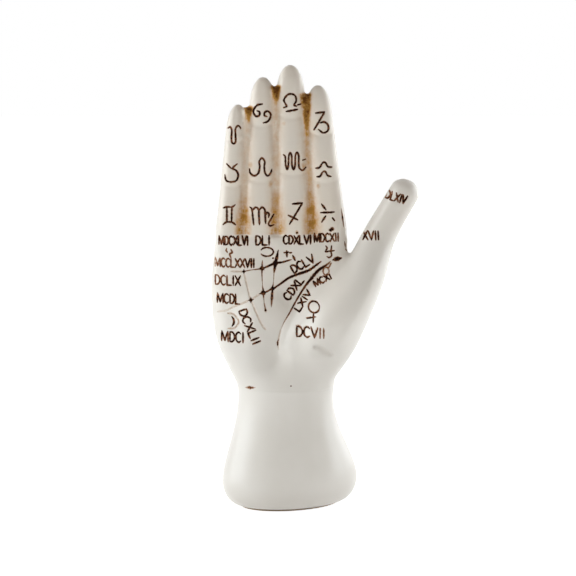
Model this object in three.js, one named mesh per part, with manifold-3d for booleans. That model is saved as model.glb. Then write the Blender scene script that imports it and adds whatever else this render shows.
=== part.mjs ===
// Palmistry hand: a hollow, white-glazed ceramic right hand that stands on a flared base.
// Millimetres, +Z up. The palm faces -Y and the thumb points to +X.
// The origin is the middle of the felt's underside, on the surface that the hand stands on.
import * as THREE from "three";
import { mergeVertices } from "three/addons/utils/BufferGeometryUtils.js";
import Module from "manifold-3d";

const wasm = await Module();
wasm.setup();

// Room left between two joined pieces for their slip or glue
const JOINT_GAP = 0.3;

// Felt and closing disc under the base
const FELT_THICKNESS = 1.5;
const FELT_INSET = 1.5;
const DISC_THICKNESS = 4;
const DISC_LEDGE = 3;
const LEDGE_THICKNESS = 3;
const VENT_BORE = 10;
const FOOT_RIM = 5;

// Flared base: its belly is its widest level, and the wrist joint is its top. Its oval is turned
// against the palm, by an angle that dies out up to the wrist. A neck pull above 1 draws a waist
// in just below the wrist.
const BASE_HEIGHT = 79;
const BASE_WIDTH = 89.2;
const BASE_DEPTH = 63;
const BASE_TURN = 16;
const BASE_WALL = 5;
const BELLY_HEIGHT = 16.5;
const EDGE_ROLL = 10.5;
const BELLY_EASE = 14;
const NECK_EASE = 25;
const NECK_PULL = 1.3;
const BASE_SQUARENESS = 2;

// Wrist joint: the hand's spigot plugs into the neck of the base
const WRIST_WIDTH = 62.5;
const WRIST_DEPTH = 45;
const WRIST_SHIFT = -2.7;
const WRIST_SQUARENESS = 2.15;
const SPIGOT_LENGTH = 10;
const SPIGOT_WALL = 4;

// Palm, in sections above the wrist joint; a shift moves a section along X, a front towards -Y
const HAND_WALL = 5;
const HEEL_RISE = 30;
const HEEL_WIDTH = 78;
const HEEL_DEPTH = 37;
const HEEL_SHIFT = -5.4;
const PALM_RISE = 63;
const PALM_WIDTH = 85;
const PALM_DEPTH = 28;
const PALM_SHIFT = -5.1;
const KNUCKLE_RISE = 99;
const KNUCKLE_WIDTH = 84;
const KNUCKLE_DEPTH = 19;
const KNUCKLE_SHIFT = -2.5;
const KNUCKLE_FRONT = 3;
const PALM_SQUARENESS = 2.7;
const KNUCKLE_SQUARENESS = 4.2;
const PALM_EDGE = 3;
const CAVITY_DOME = 18;

// Mound at the heel of the palm, below the little finger
const MOUND_WIDTH = 50;
const MOUND_DEPTH = 36;
const MOUND_CORE = 24;
const MOUND_DOME = 24;
const MOUND_INSET = 7;
const MOUND_FRONT = 3;
const MOUND_RISE = 34;

// Fingers: X of the axis at the palm and at the tip, widths there, and the three phalanges
const FINGERS = [
  { rootX: -35.8, tipX: -29.7, rootWidth: 17.4, tipWidth: 12.6, phalanges: [30.5, 28, 23] },
  { rootX: -16.6, tipX: -14.2, rootWidth: 21.6, tipWidth: 15, phalanges: [33.5, 35, 30] },
  { rootX: 5.4, tipX: 2.6, rootWidth: 22.8, tipWidth: 16.4, phalanges: [38, 35.5, 32.5] },
  { rootX: 28, tipX: 19.7, rootWidth: 21.6, tipWidth: 14.4, phalanges: [33, 29.5, 31] },
];
const FINGER_ROOT_DEPTH = 19;
const FINGER_TIP_DEPTH = 13.5;
const FINGER_ROOT_BURY = 24;
const FINGER_ROOT_SINK = 5;
const FINGER_LEAN = 1.5;
const FINGER_PAD = 0.8;
const FINGERTIP_DOME = 17;
const FINGER_SQUARENESS = 2.6;
const KNUCKLE_PROUD = 1.8;
const JOINT_PROUD = 0.8;

// Webs that fill the valleys between neighbouring fingers, each up to a drop below the shorter tip
const WEB_WIDTH = 9;
const WEB_DEPTH = 13;
const WEB_DOME = 3;
const WEB_DROPS = [1.8, 5.8, 5.6];

// Thumb and the mound at its root: sections along its axis, above the wrist joint
const THUMB = [
  { x: 13, front: 3, rise: 11, width: 38, depth: 32 },
  { x: 28, front: 7, rise: 37.5, width: 41, depth: 35 },
  { x: 48, front: 6, rise: 70, width: 29, depth: 26 },
  { x: 59.8, front: 5, rise: 98, width: 21, depth: 20.5 },
  { x: 75, front: 6, rise: 125.4, width: 19, depth: 17.5 },
];
const THUMBTIP_DOME = 8;
const THUMB_SQUARENESS = 2.1;

// Facets
const BASE_SIDES = 44;
const PALM_SIDES = 36;
const HOLLOW_SIDES = 24;
const THUMB_SIDES = 20;
const FINGER_SIDES = 16;
const WEB_SIDES = 10;
const ROLL_STEPS = 4;
const FLARE_STEPS = 9;
const DOME_STEPS = 5;
const FINGER_STEPS = 2;
const PALM_STEPS = 3;

// Levels and insets that follow from the driving dimensions
const FOOT_LEVEL = FELT_THICKNESS + JOINT_GAP;
const LEDGE_LEVEL = FOOT_LEVEL + DISC_THICKNESS + JOINT_GAP;
const RECESS_INSET = EDGE_ROLL + FOOT_RIM;
const SPIGOT_INSET = BASE_WALL + JOINT_GAP;
const MOUTH_INSET = SPIGOT_INSET + SPIGOT_WALL;

const GLAZE = { color: 0xe9e7e2, roughness: 0.22, metalness: 0 };
const BISQUE = { color: 0xd9c9b0, roughness: 0.85, metalness: 0 };
const FELT = { color: 0x6b4a30, roughness: 1, metalness: 0 };

const UP = new THREE.Vector3(0, 0, 1);
const BACKWARD = new THREE.Vector3(0, 1, 0);
const { lerp, degToRad } = THREE.MathUtils;

// A closed skin over rings of equal point counts, drawn together at a point at each end
function skin(rings, startPoint, endPoint) {
  const sides = rings[0].length;
  const points = [...rings.flat(), startPoint, endPoint];
  const start = points.length - 2;
  const end = points.length - 1;
  const last = (rings.length - 1) * sides;
  const index = [];
  for (let j = 0; j < sides; j++) {
    const next = (j + 1) % sides;
    index.push(start, next, j, end, last + j, last + next);
    for (let row = 0; row < last; row += sides) {
      index.push(row + j, row + next, row + sides + next);
      index.push(row + j, row + sides + next, row + sides + j);
    }
  }
  return new THREE.BufferGeometry().setFromPoints(points).setIndex(index);
}

// One ring of a section. Its squareness is 2 for an ellipse and more for a fuller oval.
function ring(centre, direction, section, sides) {
  const right = new THREE.Vector3().crossVectors(BACKWARD, direction).normalize();
  const back = new THREE.Vector3().crossVectors(direction, right);
  const fuller = (part) => Math.sign(part) * Math.abs(part) ** (2 / section.squareness);
  return Array.from({ length: sides }, (_, j) => {
    const angle = (2 * Math.PI * j) / sides;
    const reach = Math.sin(angle) < 0 ? section.front : section.back;
    return centre
      .clone()
      .addScaledVector(right, (fuller(Math.cos(angle)) * section.width) / 2)
      .addScaledVector(back, fuller(Math.sin(angle)) * reach);
  });
}

// A station of a loft: the centre of a section, which reaches as far in front of it as behind
function station(x, y, z, width, depth, squareness) {
  return { centre: new THREE.Vector3(x, y, z), width, front: depth / 2, back: depth / 2, squareness };
}

const SECTION_SIZES = ["width", "front", "back", "squareness"];

// A smooth loft through stations, with a rounded dome past an end where one is asked for.
// Its sections stay level if it is upright, and otherwise turn with its axis. The steps are
// facets along each span between two stations.
function loft(stations, { sides, steps, upright = false, startDome = 0, endDome = 0 }) {
  const spans = stations.length - 1;
  const spine = new THREE.CatmullRomCurve3(stations.map(({ centre }) => centre), false, "catmullrom");
  const sizes = new THREE.CubicInterpolant(
    stations.map((_, i) => i),
    stations.flatMap((each) => SECTION_SIZES.map((size) => each[size])),
    SECTION_SIZES.length,
  );
  const centreAt = (t) => spine.getPoint(t / spans);
  const directionAt = (t) => (upright ? UP : spine.getTangent(t / spans));
  const sectionAt = (t, scale = 1) => {
    const [width, front, back, squareness] = sizes.evaluate(t);
    return { width: width * scale, front: front * scale, back: back * scale, squareness };
  };
  const past = (t, length) => centreAt(t).addScaledVector(directionAt(t), length);
  const dome = (t, length) =>
    Array.from({ length: length ? DOME_STEPS - 1 : 0 }, (_, i) => {
      const angle = ((i + 1) / DOME_STEPS) * (Math.PI / 2);
      return ring(past(t, length * Math.sin(angle)), directionAt(t), sectionAt(t, Math.cos(angle)), sides);
    });

  const body = Array.from({ length: spans * steps + 1 }, (_, i) => {
    const t = i / steps;
    return ring(centreAt(t), directionAt(t), sectionAt(t), sides);
  });
  const rings = [...dome(0, -startDome).reverse(), ...body, ...dome(spans, endDome)];
  return skin(rings, past(0, -startDome), past(spans, endDome));
}

// Closed geometry as a solid that can be joined and cut, and back again
function solid(geometry) {
  const bare = new THREE.BufferGeometry().setIndex(geometry.index);
  bare.setAttribute("position", geometry.getAttribute("position"));
  const merged = mergeVertices(bare);
  return new wasm.Manifold(
    new wasm.Mesh({
      numProp: 3,
      vertProperties: merged.getAttribute("position").array,
      triVerts: Uint32Array.from(merged.index.array),
    }),
  );
}

function geometryOf(manifold) {
  const mesh = manifold.getMesh();
  const geometry = new THREE.BufferGeometry();
  geometry.setAttribute("position", new THREE.BufferAttribute(mesh.vertProperties, 3));
  return geometry.setIndex(new THREE.BufferAttribute(mesh.triVerts, 1));
}

function piece(name, geometry, finish) {
  const mesh = new THREE.Mesh(geometry, new THREE.MeshStandardMaterial(finish));
  mesh.name = name;
  return mesh;
}

// Palm from the wrist joint to the line where the fingers begin
function palmLoft() {
  return loft(
    [
      wristStation(0, 0),
      station(HEEL_SHIFT, 0, HEEL_RISE, HEEL_WIDTH, HEEL_DEPTH, PALM_SQUARENESS),
      station(PALM_SHIFT, 0, PALM_RISE, PALM_WIDTH, PALM_DEPTH, PALM_SQUARENESS),
      knuckleStation(),
    ],
    { sides: PALM_SIDES, steps: PALM_STEPS, upright: true, endDome: PALM_EDGE },
  );
}

function knuckleStation() {
  const rise = KNUCKLE_RISE - PALM_EDGE;
  return station(KNUCKLE_SHIFT, -KNUCKLE_FRONT, rise, KNUCKLE_WIDTH, KNUCKLE_DEPTH, KNUCKLE_SQUARENESS);
}

// Mound at the heel of the palm, whose outer side lies just inside the palm's edge
function moundLoft() {
  const x = HEEL_SHIFT - HEEL_WIDTH / 2 + MOUND_INSET + MOUND_WIDTH / 2;
  const ends = [MOUND_RISE - MOUND_CORE / 2, MOUND_RISE + MOUND_CORE / 2];
  return loft(
    ends.map((rise) => station(x, -MOUND_FRONT, rise, MOUND_WIDTH, MOUND_DEPTH, 2)),
    { sides: THUMB_SIDES, steps: FINGER_STEPS, startDome: MOUND_DOME, endDome: MOUND_DOME },
  );
}

// A finger at a distance from the finger line: its axis, width and depth. At the line its front
// is flush with the palm, and it tapers to the tip and leans forward a little.
function fingerAt({ rootX, tipX, rootWidth, tipWidth, phalanges }, distance) {
  const length = phalanges.reduce((sum, phalanx) => sum + phalanx, 0);
  const share = Math.max(distance / length, 0);
  return {
    length,
    centre: new THREE.Vector3(
      lerp(rootX, tipX, share),
      -KNUCKLE_FRONT - FINGER_LEAN * share ** 2,
      KNUCKLE_RISE + distance,
    ),
    width: lerp(rootWidth, tipWidth, share),
    depth: lerp(FINGER_ROOT_DEPTH, FINGER_TIP_DEPTH, share),
  };
}

// Each phalanx has a soft pad in front, and the knuckles stand proud at the back. The root is
// buried in the palm and sinks below its faces there.
function fingerLoft(finger) {
  const { length } = fingerAt(finger, 0);
  const [first, second] = finger.phalanges;
  const domeStart = length - FINGERTIP_DOME;
  const at = (distance, pad, proud) => {
    const { centre, width, depth } = fingerAt(finger, distance);
    const squareness = FINGER_SQUARENESS;
    return { centre, width, front: depth / 2 + pad, back: depth / 2 + proud, squareness };
  };
  return loft(
    [
      at(-FINGER_ROOT_BURY, -FINGER_ROOT_SINK, -FINGER_ROOT_SINK),
      at(0, 0, KNUCKLE_PROUD),
      at(first / 2, FINGER_PAD, 0),
      at(first, 0, JOINT_PROUD),
      at(first + second / 2, FINGER_PAD, 0),
      at(first + second, 0, JOINT_PROUD),
      at((first + second + domeStart) / 2, FINGER_PAD, 0),
      at(domeStart, 0, 0),
    ],
    { sides: FINGER_SIDES, steps: FINGER_STEPS, endDome: FINGERTIP_DOME },
  );
}

// Web between two neighbouring fingers
function webLoft(left, right, drop) {
  const domeStart = Math.min(fingerAt(left, 0).length, fingerAt(right, 0).length) - drop - WEB_DOME;
  const at = (distance) => {
    const [one, other] = [fingerAt(left, distance), fingerAt(right, distance)];
    const x = (one.centre.x + one.width / 2 + other.centre.x - other.width / 2) / 2;
    const { y, z } = one.centre;
    return station(x, y, z, WEB_WIDTH, WEB_DEPTH, FINGER_SQUARENESS);
  };
  return loft([at(-FINGER_ROOT_BURY), at(0), at(domeStart / 2), at(domeStart)], {
    sides: WEB_SIDES,
    steps: FINGER_STEPS,
    endDome: WEB_DOME,
  });
}

function thumbLoft() {
  const stations = THUMB.map(({ x, front, rise, width, depth }) =>
    station(x, -front, rise, width, depth, THUMB_SQUARENESS),
  );
  return loft(stations, { sides: THUMB_SIDES, steps: PALM_STEPS, endDome: THUMBTIP_DOME });
}

function wristStation(rise, inset) {
  return station(0, 0, rise, WRIST_WIDTH - 2 * inset, WRIST_DEPTH - 2 * inset, WRIST_SQUARENESS);
}

// Spigot below the wrist joint, which reaches a wall's thickness up into the palm
function spigotLoft() {
  const stations = [wristStation(-SPIGOT_LENGTH, SPIGOT_INSET), wristStation(HAND_WALL, SPIGOT_INSET)];
  return loft(stations, { sides: PALM_SIDES, steps: 1, upright: true });
}

// Hollow that runs from the mouth of the spigot up into the palm, a wall's thickness inside it
function handHollow() {
  const walls = 2 * HAND_WALL;
  return loft(
    [
      wristStation(-2 * SPIGOT_LENGTH, MOUTH_INSET),
      wristStation(0, MOUTH_INSET),
      station(HEEL_SHIFT, 0, HEEL_RISE, HEEL_WIDTH - walls, HEEL_DEPTH - walls, PALM_SQUARENESS),
      station(PALM_SHIFT, 0, PALM_RISE, PALM_WIDTH - walls, PALM_DEPTH - walls, PALM_SQUARENESS),
    ],
    { sides: HOLLOW_SIDES, steps: FINGER_STEPS, upright: true, endDome: CAVITY_DOME },
  );
}

// Nothing of the hand but its spigot reaches below the wrist joint.
function belowWrist() {
  const block = new THREE.BoxGeometry(2 * PALM_WIDTH, 2 * BASE_DEPTH, BASE_HEIGHT);
  return block.translate(0, 0, -BASE_HEIGHT / 2);
}

function wholeHand() {
  const webs = WEB_DROPS.map((drop, i) => webLoft(FINGERS[i], FINGERS[i + 1], drop));
  const forms = [palmLoft(), moundLoft(), thumbLoft(), ...FINGERS.map(fingerLoft), ...webs];
  return forms
    .map(solid)
    .reduce((joined, form) => joined.add(form))
    .subtract(solid(belowWrist()))
    .add(solid(spigotLoft()))
    .subtract(solid(handHollow()));
}

// The half of the hand on one side of the seam, which runs midway between palm and back
function handHalf(hand, side) {
  const box = new THREE.Box3().setFromBufferAttribute(geometryOf(hand).getAttribute("position"));
  const centre = box.getCenter(new THREE.Vector3());
  const size = box.getSize(new THREE.Vector3()).multiplyScalar(2);
  const block = new THREE.BoxGeometry(size.x, size.y, size.z);
  block.translate(centre.x, (side * (size.y + JOINT_GAP)) / 2, centre.z);
  return geometryOf(hand.intersect(solid(block)));
}

// One level ring of the base. The flare is 0 at the belly and 1 at the wrist.
function baseRing(level, flare, inset) {
  const section = station(
    WRIST_SHIFT * flare,
    0,
    level,
    lerp(BASE_WIDTH, WRIST_WIDTH, flare) - 2 * inset,
    lerp(BASE_DEPTH, WRIST_DEPTH, flare) - 2 * inset,
    lerp(BASE_SQUARENESS, WRIST_SQUARENESS, flare),
  );
  const { centre } = section;
  const turn = degToRad(BASE_TURN * (1 - flare));
  return ring(centre, UP, section, BASE_SIDES).map((point) =>
    point.sub(centre).applyAxisAngle(UP, turn).add(centre),
  );
}

// Rings from the belly up to the wrist joint: upright at both ends, with a sweep between, and with
// no flare past the most that is asked for
function flareRings(inset, most) {
  return new THREE.CubicBezierCurve(
    new THREE.Vector2(0, BELLY_HEIGHT),
    new THREE.Vector2(0, BELLY_HEIGHT + BELLY_EASE),
    new THREE.Vector2(NECK_PULL, BASE_HEIGHT - NECK_EASE),
    new THREE.Vector2(1, BASE_HEIGHT),
  )
    .getPoints(FLARE_STEPS)
    .map(({ x: flare, y: level }) => baseRing(level, Math.min(flare, most), inset));
}

// Rings of the rolled lower edge, from the foot up to just below the belly
function rollRings() {
  return Array.from({ length: ROLL_STEPS }, (_, i) => {
    const angle = (i / ROLL_STEPS) * (Math.PI / 2);
    const level = lerp(BELLY_HEIGHT, FOOT_LEVEL, Math.cos(angle));
    return baseRing(level, 0, EDGE_ROLL * (1 - Math.sin(angle)));
  });
}

function stack(rings, bottom, top) {
  return solid(skin(rings, new THREE.Vector3(0, 0, bottom), new THREE.Vector3(WRIST_SHIFT, 0, top)));
}

// Base shell: open at the neck for the spigot, which the waist leaves room for inside, and recessed
// at the foot up to a ledge for the disc
function flaredBase() {
  const outside = stack([...rollRings(), ...flareRings(0, NECK_PULL)], FOOT_LEVEL, BASE_HEIGHT);
  const ledgeInset = RECESS_INSET + DISC_LEDGE;
  const ledgeTop = LEDGE_LEVEL + LEDGE_THICKNESS;
  const hollowTop = BASE_HEIGHT + BASE_WALL;
  const hollow = stack(
    [
      baseRing(FOOT_LEVEL, 0, ledgeInset),
      baseRing(ledgeTop, 0, ledgeInset),
      ...flareRings(BASE_WALL, 1),
      baseRing(hollowTop, 1, BASE_WALL),
    ],
    FOOT_LEVEL,
    hollowTop,
  );
  const recess = stack(
    [baseRing(FOOT_LEVEL - FOOT_RIM, 0, RECESS_INSET), baseRing(LEDGE_LEVEL, 0, RECESS_INSET)],
    FOOT_LEVEL - FOOT_RIM,
    LEDGE_LEVEL,
  );
  return geometryOf(outside.subtract(hollow).subtract(recess));
}

// A flat oval plate that follows the base's outline, with a round bore if it has one
function plate(inset, thickness, bore = 0) {
  const [halfWidth, halfDepth] = [BASE_WIDTH / 2 - inset, BASE_DEPTH / 2 - inset];
  const oval = new THREE.Shape().absellipse(0, 0, halfWidth, halfDepth, 0, 2 * Math.PI);
  if (bore) {
    oval.holes.push(new THREE.Path().absarc(0, 0, bore / 2, 0, 2 * Math.PI));
  }
  const settings = { depth: thickness, bevelEnabled: false, curveSegments: BASE_SIDES };
  return geometryOf(solid(new THREE.ExtrudeGeometry(oval, settings).rotateZ(degToRad(BASE_TURN))));
}

const palmistryHand = new THREE.Group();

const hand = new THREE.Group();
hand.position.set(WRIST_SHIFT, 0, BASE_HEIGHT + JOINT_GAP);
const moulded = wholeHand();
hand.add(piece("palm_half", handHalf(moulded, -1), GLAZE));
hand.add(piece("back_half", handHalf(moulded, 1), GLAZE));
palmistryHand.add(hand);

palmistryHand.add(piece("flared_base", flaredBase(), GLAZE));

const disc = piece("base_disc", plate(RECESS_INSET + JOINT_GAP, DISC_THICKNESS, VENT_BORE), BISQUE);
disc.position.z = FOOT_LEVEL;
palmistryHand.add(disc);

palmistryHand.add(piece("base_felt", plate(EDGE_ROLL + FELT_INSET, FELT_THICKNESS), FELT));

export default palmistryHand;
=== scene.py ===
import math

import bmesh
import bpy
import numpy as np
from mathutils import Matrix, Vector, kdtree


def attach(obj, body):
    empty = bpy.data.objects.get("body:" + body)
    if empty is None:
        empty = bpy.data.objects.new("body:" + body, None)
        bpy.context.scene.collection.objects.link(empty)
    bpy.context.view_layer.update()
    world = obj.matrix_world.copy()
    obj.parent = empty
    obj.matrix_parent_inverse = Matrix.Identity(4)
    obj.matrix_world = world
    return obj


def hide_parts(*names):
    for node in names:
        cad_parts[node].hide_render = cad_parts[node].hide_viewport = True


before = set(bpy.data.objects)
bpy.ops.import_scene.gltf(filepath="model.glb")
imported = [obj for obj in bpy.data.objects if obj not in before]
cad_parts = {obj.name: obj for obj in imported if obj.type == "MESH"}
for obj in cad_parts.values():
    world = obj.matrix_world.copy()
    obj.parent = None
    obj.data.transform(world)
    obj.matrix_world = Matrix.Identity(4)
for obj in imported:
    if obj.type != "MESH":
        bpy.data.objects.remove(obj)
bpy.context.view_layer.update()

MM = 0.001

# Sizes of the base
FOOT_LEVEL = 1.8
FOOT_RIM = 5.0
LEDGE_LEVEL = 6.1
LEDGE_THICKNESS = 3.0
LEDGE_WIDTH = 3.0
BASE_HEIGHT = 79.0
BASE_WIDTH, BASE_DEPTH = 89.2, 63.0
BASE_TURN = 16.0
BASE_WALL = 5.0
BELLY_HEIGHT = 16.5
EDGE_ROLL = 10.5
BELLY_EASE, NECK_EASE, NECK_PULL = 14.0, 25.0, 1.3
BASE_SQUARENESS = 2.0
JOINT_BEVEL = 0.12
JOINT_GAP, JOINT_CLEARANCE = 0.05, 0.3

# Hand, in sections above the wrist joint
WRIST_WIDTH, WRIST_DEPTH = 62.5, 45.0
WRIST_SHIFT = -2.7
WRIST_LEVEL = BASE_HEIGHT + JOINT_CLEARANCE
WRIST_SQUARENESS = 2.15
WRIST_RUN, WRIST_OVERLAP = 16.0, 1.0
HEEL = dict(shift=-5.4, rise=30.0, width=78.0, depth=37.0)
PALM = dict(shift=-5.1, rise=63.0, width=85.0, depth=28.0)
KNUCKLE_SHIFT, KNUCKLE_FRONT = -2.5, 3.0
KNUCKLE_RISE = 99.0
KNUCKLE_WIDTH, KNUCKLE_DEPTH = 84.0, 19.0
PALM_SQUARENESS, KNUCKLE_SQUARENESS, MOUND_SQUARENESS = 2.7, 4.2, 2.0
PALM_EDGE = 3.0
MOUND = dict(inset=7.0, front=3.0, rise=34.0, width=50.0, depth=36.0, core=24.0, dome=24.0)

# Fingers: X of the axis at the finger line and at the tip, widths there, and the phalanges
FINGERS = [
    dict(root=-35.8, tip=-29.7, root_width=17.4, tip_width=12.6, phalanges=(30.5, 28.0, 23.0)),
    dict(root=-16.6, tip=-14.2, root_width=21.6, tip_width=15.0, phalanges=(33.5, 35.0, 30.0)),
    dict(root=5.4, tip=2.6, root_width=22.8, tip_width=16.4, phalanges=(38.0, 35.5, 32.5)),
    dict(root=28.0, tip=19.7, root_width=21.6, tip_width=14.4, phalanges=(33.0, 29.5, 31.0)),
]
ROOT_DEPTH, TIP_DEPTH = 19.0, 13.5
ROOT_BURY, ROOT_SINK = 24.0, 5.0
FINGER_LEAN = 1.5
FINGER_PAD = 0.8
FINGERTIP_DOME = 17.0
FINGER_SQUARENESS = 2.6
KNUCKLE_PROUD, JOINT_PROUD = 1.8, 0.8
WEB_WIDTH, WEB_DEPTH, WEB_DOME = 9.0, 13.0, 3.0
WEB_DROPS = (1.8, 5.8, 5.6)
# Thumb: X, how far in front, rise, width and depth of its sections
THUMB = [
    (13.0, 3.0, 11.0, 38.0, 32.0),
    (28.0, 7.0, 37.5, 41.0, 35.0),
    (48.0, 6.0, 70.0, 29.0, 26.0),
    (59.8, 5.0, 98.0, 21.0, 20.5),
    (75.0, 6.0, 125.4, 19.0, 17.5),
]
THUMBTIP_DOME = 8.0
THUMB_SQUARENESS = 2.1

# Facets of the shells
PALM_SIDES, FINGER_SIDES, WEB_SIDES = 64, 40, 24
FINGER_STEPS, THUMB_STEPS, DOME_STEPS = 6, 8, 10

# Camera of the front view, and how far in front of the middle the marks lie
CAMERA_DISTANCE = 1200.0
CAMERA_ELEVATION = 10.0
CAMERA_AIM = (-1.28, 0.0, 141.96)
CAMERA_LENS = 117.19
FRONT_REACH = 13.0

# Fineness of the hand's skin, and shares by which its points move in a pass
BODY_VOXEL, SKIN_VOXEL = 1.5, 1.0
FILL_PASSES, BODY_PASSES, SKIN_PASSES, STROKE_PASSES = 90, 30, 6, 4
FILL_SHARE = 0.5
SMOOTH_SHARES = (0.5, -0.52)

# The top of the palm keeps its crisp edge left of the thumb: how much, at which levels, and up to which X
FINGER_LINE = WRIST_LEVEL + KNUCKLE_RISE
CRISPNESS = 0.88
CRISP_LEVELS = (FINGER_LINE - 16, FINGER_LINE - 6)
THUMB_START = (34.0, 42.0)


def spline(rows, places):
    """Points of a smooth curve through the rows, at places counted in rows."""
    rows = np.asarray(rows, float)
    rows = np.vstack([2 * rows[0] - rows[1], rows, 2 * rows[-1] - rows[-2]])
    first = np.clip(np.floor(places).astype(int), 0, len(rows) - 4)
    f = (places - first)[:, None]
    a, b, c, d = (rows[first + i] for i in range(4))
    return b + f * (c - a + f * (2 * a - 5 * b + 4 * c - d + f * (3 * (b - c) + d - a))) / 2


def grow(low, high, value):
    """0 up to the low mark, 1 from the high mark, and an even curve between."""
    share = np.clip((value - low) / (high - low), 0, 1)
    return share * share * (3 - 2 * share)


def fade(low, high, value):
    return 1 - grow(low, high, value)


def ring(centre, direction, section, sides):
    """One ring of a section: its width, its reach to front and back, and its squareness."""
    width, front, back, squareness = section
    direction = direction / np.linalg.norm(direction)
    right = np.cross((0, 1, 0), direction)
    right /= np.linalg.norm(right)
    backward = np.cross(direction, right)
    angles = np.linspace(0, 2 * math.pi, sides, endpoint=False)
    c, s = np.cos(angles), np.sin(angles)
    across = np.sign(c) * np.abs(c) ** (2 / squareness) * width / 2
    along = np.sign(s) * np.abs(s) ** (2 / squareness) * np.where(s < 0, front, back)
    return centre + np.outer(across, right) + np.outer(along, backward)


def skin(rings, start, end):
    """A closed shell over rings, drawn together at a point at each end: its points and faces."""
    sides = len(rings[0])
    points = np.vstack([*rings, start, end])
    first, last = len(points) - 2, len(points) - 1
    top = (len(rings) - 1) * sides
    faces = []
    for j in range(sides):
        k = (j + 1) % sides
        faces.append((first, k, j))
        faces.append((last, top + j, top + k))
        faces.extend((row + j, row + k, row + sides + k, row + sides + j) for row in range(0, top, sides))
    return points, faces


def station(x, y, z, width, depth, squareness):
    return (x, y, z, width, depth / 2, depth / 2, squareness)


def loft(stations, sides=FINGER_SIDES, steps=FINGER_STEPS, upright=False, start_dome=0.0, end_dome=0.0):
    """A smooth shell through stations, with a round dome past an end where one is asked for."""
    spans = len(stations) - 1
    places = np.linspace(0, spans, spans * steps + 1)
    rows = spline(stations, places)
    nudge = 0.01
    ahead = spline(stations, np.clip(places + nudge, 0, spans))[:, :3]
    behind = spline(stations, np.clip(places - nudge, 0, spans))[:, :3]
    directions = np.tile((0.0, 0.0, 1.0), (len(rows), 1)) if upright else ahead - behind
    directions /= np.linalg.norm(directions, axis=1)[:, None]
    body = [ring(row[:3], direction, row[3:], sides) for row, direction in zip(rows, directions)]

    def dome(row, direction, length):
        rings = []
        for i in range(1, DOME_STEPS if length else 0):
            angle = i / DOME_STEPS * math.pi / 2
            section = np.array(row[3:])
            section[:3] *= math.cos(angle)
            rings.append(ring(row[:3] + direction * length * math.sin(angle), direction, section, sides))
        return rings, row[:3] + direction * length

    head, start = dome(rows[0], directions[0], -start_dome)
    tail, end = dome(rows[-1], directions[-1], end_dome)
    return skin([*reversed(head), *body, *tail], start, end)


def in_place(shell):
    """A shell of the hand, whose sizes are counted from the wrist joint, in the object's frame."""
    points, faces = shell
    return points + np.array((WRIST_SHIFT, 0, WRIST_LEVEL)), faces


def wrist_station(rise):
    return station(0, 0, rise, WRIST_WIDTH, WRIST_DEPTH, WRIST_SQUARENESS)


def palm_shell():
    middle = [
        station(each["shift"], 0, each["rise"], each["width"], each["depth"], PALM_SQUARENESS)
        for each in (HEEL, PALM)
    ]
    rise = KNUCKLE_RISE - PALM_EDGE
    knuckle = station(KNUCKLE_SHIFT, -KNUCKLE_FRONT, rise, KNUCKLE_WIDTH, KNUCKLE_DEPTH, KNUCKLE_SQUARENESS)
    return loft([wrist_station(0), *middle, knuckle], sides=PALM_SIDES, upright=True, end_dome=PALM_EDGE)


def wrist_shell():
    """A straight run below the wrist joint, cut off later, so that the joint's edge stays crisp."""
    ends = [wrist_station(rise) for rise in (-WRIST_RUN, WRIST_OVERLAP)]
    return loft(ends, sides=PALM_SIDES, steps=1, upright=True)


def mound_shell():
    x = HEEL["shift"] - HEEL["width"] / 2 + MOUND["inset"] + MOUND["width"] / 2
    ends = [MOUND["rise"] + side * MOUND["core"] / 2 for side in (-1, 1)]
    sizes = (MOUND["width"], MOUND["depth"], MOUND_SQUARENESS)
    rows = [station(x, -MOUND["front"], rise, *sizes) for rise in ends]
    return loft(rows, start_dome=MOUND["dome"], end_dome=MOUND["dome"])


def thumb_shell():
    rows = [station(x, -front, *sizes, THUMB_SQUARENESS) for x, front, *sizes in THUMB]
    return loft(rows, steps=THUMB_STEPS, end_dome=THUMBTIP_DOME)


def finger_length(finger):
    return sum(finger["phalanges"])


def finger_at(finger, distance):
    """Centre, width and depth of a finger at a distance from the finger line."""
    share = max(distance / finger_length(finger), 0)
    x = finger["root"] + (finger["tip"] - finger["root"]) * share
    width = finger["root_width"] + (finger["tip_width"] - finger["root_width"]) * share
    depth = ROOT_DEPTH + (TIP_DEPTH - ROOT_DEPTH) * share
    return np.array((x, -KNUCKLE_FRONT - FINGER_LEAN * share**2, KNUCKLE_RISE + distance)), width, depth


def finger_shell(finger):
    first, second, _ = finger["phalanges"]
    dome_start = finger_length(finger) - FINGERTIP_DOME

    def at(distance, pad, proud):
        centre, width, depth = finger_at(finger, distance)
        return (*centre, width, depth / 2 + pad, depth / 2 + proud, FINGER_SQUARENESS)

    return loft(
        [
            at(-ROOT_BURY, -ROOT_SINK, -ROOT_SINK),
            at(0, 0, KNUCKLE_PROUD),
            at(first / 2, FINGER_PAD, 0),
            at(first, 0, JOINT_PROUD),
            at(first + second / 2, FINGER_PAD, 0),
            at(first + second, 0, JOINT_PROUD),
            at((first + second + dome_start) / 2, FINGER_PAD, 0),
            at(dome_start, 0, 0),
        ],
        end_dome=FINGERTIP_DOME,
    )


def web_x(left, right, distance):
    """X of the middle between two fingers."""
    (one, one_width, _), (other, other_width, _) = finger_at(left, distance), finger_at(right, distance)
    return (one[0] + one_width / 2 + other[0] - other_width / 2) / 2


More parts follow.
